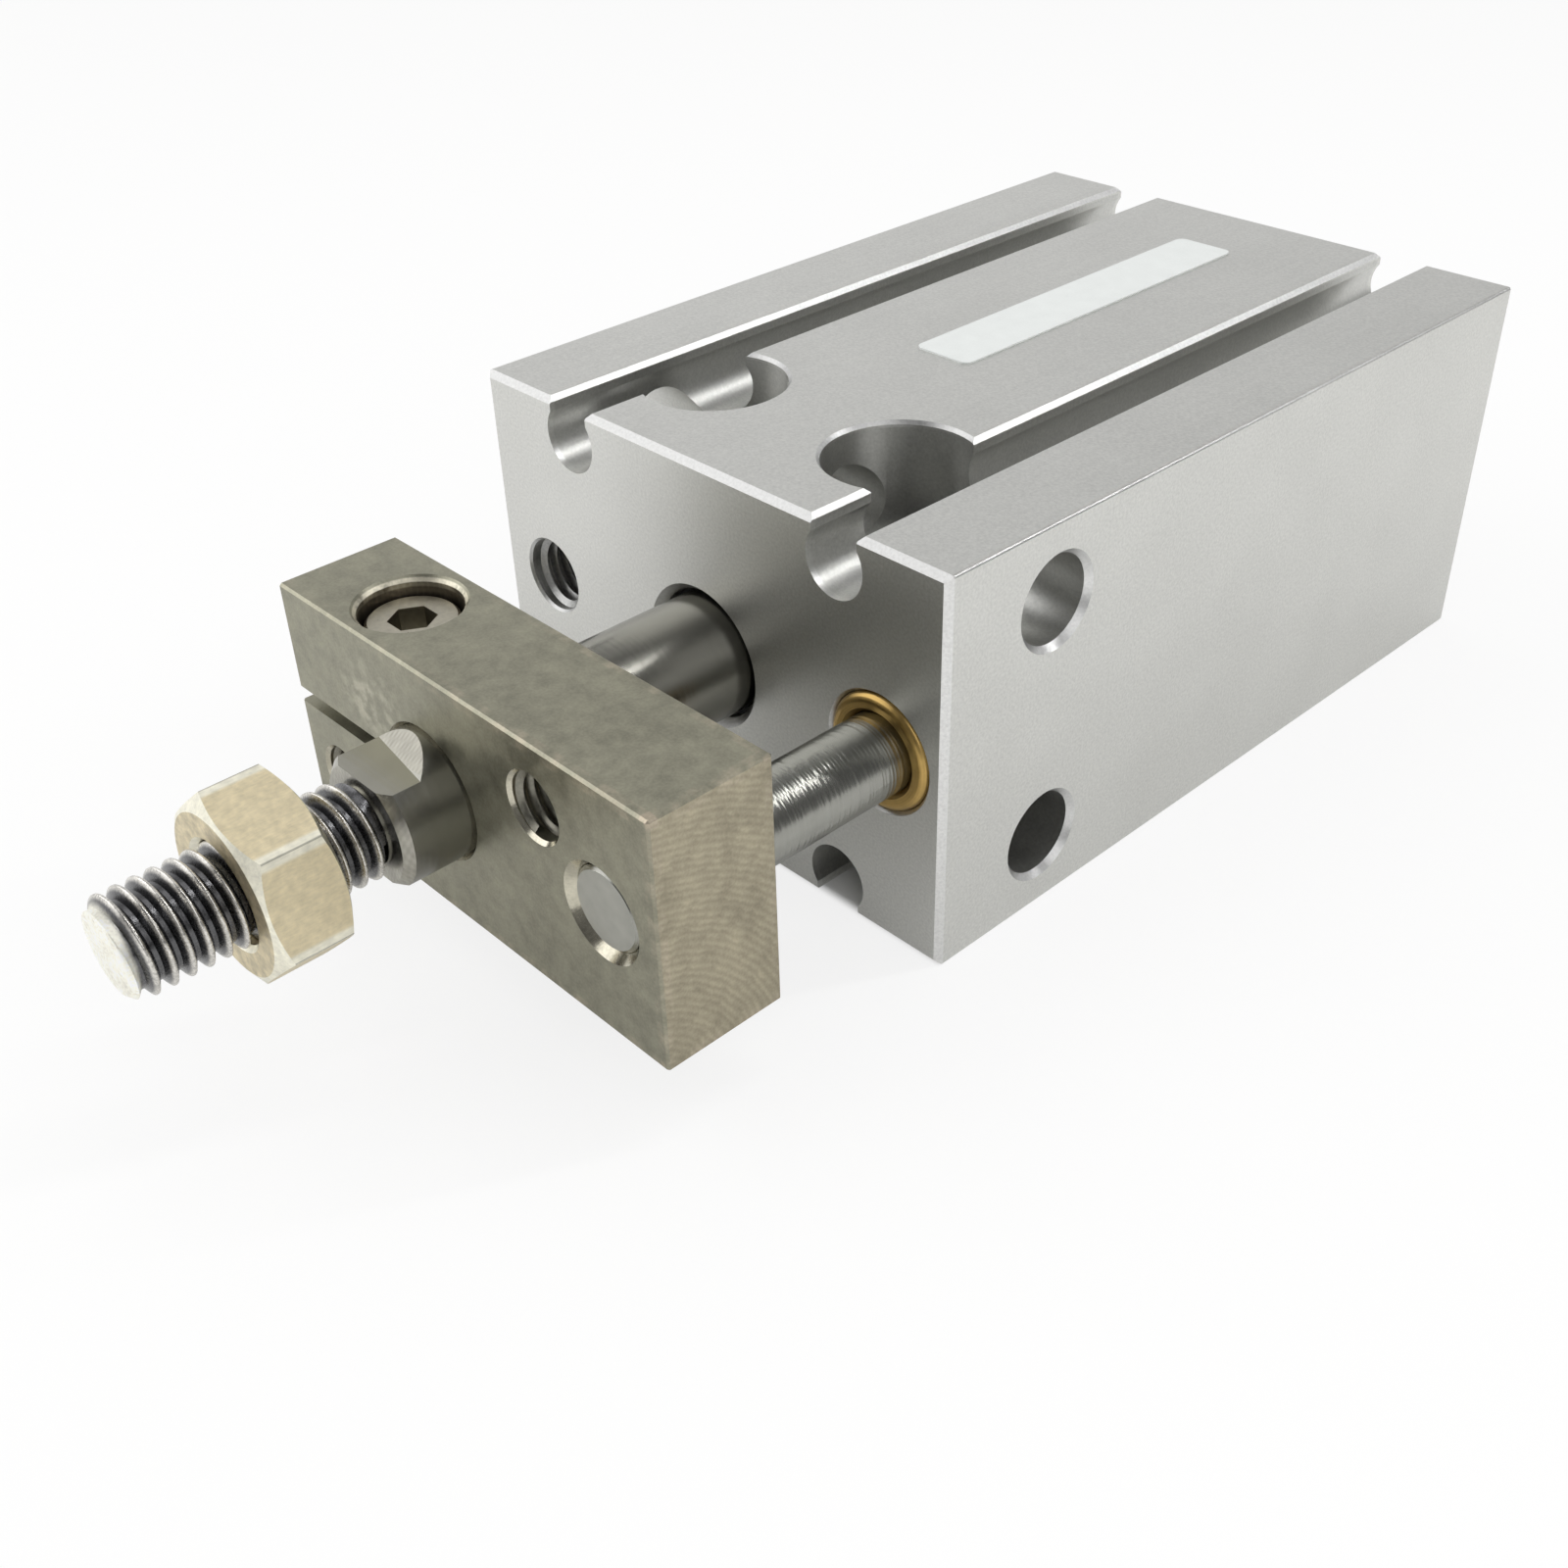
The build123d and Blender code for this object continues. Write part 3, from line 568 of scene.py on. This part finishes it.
# Painted light: faces that look up are lighter.
plate_tone = plate_tone + nickelled.upright * 0.14 + arcs * 0.14
plate_rough = 0.28 + mottle * 0.26 - highlit_hole_rims * 0.2
plate_bump = specks * 0.6 + mottle * 0.5 + arcs * 0.7
coat(nickelled, nickelled.shade(plate_colour, plate_tone), plate_rough, plate_bump, 0.012)
dress(nickelled, "guide_plate")


# Tapped holes: two M4 through the plate and one M5 in the body's front face. Each thread is a ridge
# wound on the wall of its hole, darker than the faces around it.
def tapped(name, centre, body, slot, finish, radius, pitch, depth, mouth, length):
    """Winds the ridge of an inner thread from the mouth of a hole towards +Y."""
    half = pitch * 0.44
    wall = radius + 0.004
    section = [
        (wall, -half),
        (radius - depth + 0.02, -pitch * 0.1),
        (radius - depth, 0),
        (radius - depth + 0.02, pitch * 0.1),
        (wall, half),
    ]
    mesh = bmesh.new()
    helix(mesh, section, pitch, length / pitch, mouth + length + half, centre)
    soften(mesh, 40)
    return piece(name, mesh, body, [finish])


def cut_metal(name, base):
    """The bare look of a tapped thread, a little torn by the tap."""
    finish = metal(name, base)
    torn = finish.noise(0.2, finish.place, detail=3.0)
    coat(finish, finish.shade(base, 0.5 + torn * 0.9), 0.26 + torn * 0.2, torn)
    return finish


tapped_steel = cut_metal("tapped_steel", (0.26, 0.25, 0.21))
tapped_aluminium = cut_metal("tapped_aluminium", (0.42, 0.42, 0.41))
body_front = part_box("body")[0].y / mm
m4 = {"radius": 2.0, "pitch": 0.7, "depth": 0.36, "mouth": plate_low.y + 0.25, "length": 6.8}
m5 = {"radius": 2.5, "pitch": 0.8, "depth": 0.42, "mouth": body_front + 0.4, "length": 8.8}
tapped("plate_thread_high", (10, 17), "rod", "plate_steel", tapped_steel, **m4)
tapped("plate_thread_low", (-10, 9), "rod", "plate_steel", tapped_steel, **m4)
tapped("front_thread_turns", (-15, 13), "cylinder", "body_aluminium", tapped_aluminium, **m5)


# Clamp screw and piston screw: zinc plated socket screws. The clamp screw's head sits in a counterbore
# in the top of the plate, and its socket is painted dark inside, as shade.
zinc = metal("zinc_plated_steel", (0.50, 0.47, 0.385))
zinc_spots = zinc.noise(0.35, zinc.place)
screw_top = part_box("clamp_screw")[1].z / mm
socket_radius = 1.50
socket_reach = distance(zinc.x - screw_middle.x, zinc.y - screw_middle.y)
in_socket = 1 - zinc.step(socket_reach, socket_radius - 0.10, socket_radius)
below_top = 1 - zinc.step(zinc.z, screw_top - 0.12, screw_top - 0.04)
# Painted shade: the colour inside the clamp screw's socket is darker.
zinc_tone = (0.75 + zinc_spots * 0.5) * (1 - in_socket * below_top * 0.3)
coat(zinc, zinc.shade(zinc.base, zinc_tone), 0.24 + zinc_spots * 0.14, zinc_spots, 0.008)
dress(zinc, "clamp_screw", "piston_screw")


# Guide rod: ground and polished steel, pressed into the plate, so that the piston can't turn.
# Fine grinding lines run round it, and its end face is matt.
polished = metal("polished_steel", (0.36, 0.36, 0.33))
polish_lines = polished.noise(0.2, polished.place, detail=0.0, stretch=(20, 1, 20))
polish_clouds = polished.noise(1.5, polished.place)
polish_scratches = polished.noise(0.4, polished.place, detail=1.0, stretch=(1, 3, 1))
polish_end = polished.step(polished.along, 0.9, 0.95)
polish_tone = 0.76 + polish_lines * 0.1 + polish_clouds * (0.12 + polish_end * 0.3)
polish_tone = polish_tone + polish_scratches * 0.1 + polish_end * 0.1
coat(polished, polished.shade(polished.base, polish_tone), 0.26 + polish_end * 0.12, polish_lines, 0.06)
dress(polished, "guide_rod")


# Rod-end nut: a hexagon nut of steel with a pale yellowish plating, turned down to a bevel on both
# faces. Its flats are brushed, its bevels and corners are painted pale as highlights, and a thin dark
# line of painted shade runs along each corner.
plated = metal("plated_nut_steel", (0.78, 0.685, 0.475))
nut_spots = plated.noise(0.5, plated.place, detail=4.0)
nut_lines = plated.noise(0.14, plated.place, detail=3.0, stretch=(1, 4, 1))
nut_corner = 5.77
nut_reach = off_axis(plated)
nut_bevels = plated.step(plated.along, 0.3, 0.4) * (1 - plated.step(plated.along, 0.93, 0.97))
nut_corners = plated.step(nut_reach, nut_corner - 0.27, nut_corner - 0.15)
# Painted shade: a thin dark line along each corner.
nut_corner_shade = plated.step(nut_reach, nut_corner - 0.04, nut_corner - 0.01) * (1 - nut_bevels)
# Painted highlight: the bevels and corners are pale.
nut_painted_highlights = plated.larger(nut_bevels, nut_corners)
nut_colour = plated.mix(nut_painted_highlights, (*plated.base, 1), (0.94, 0.91, 0.77, 1))
nut_front = plated.step(plated.along, 0.95, 0.98) * (0.32 - nut_spots * 0.4)
nut_tone = (0.54 + nut_spots * 0.46 + nut_lines * 0.36 - nut_front) * (1 - nut_corner_shade * 0.45)
nut_rough = 0.32 + nut_lines * 0.2 - nut_bevels * 0.1
coat(plated, plated.shade(nut_colour, nut_tone), nut_rough, nut_lines, 0.008)
dress(plated, "rod_end_nut")
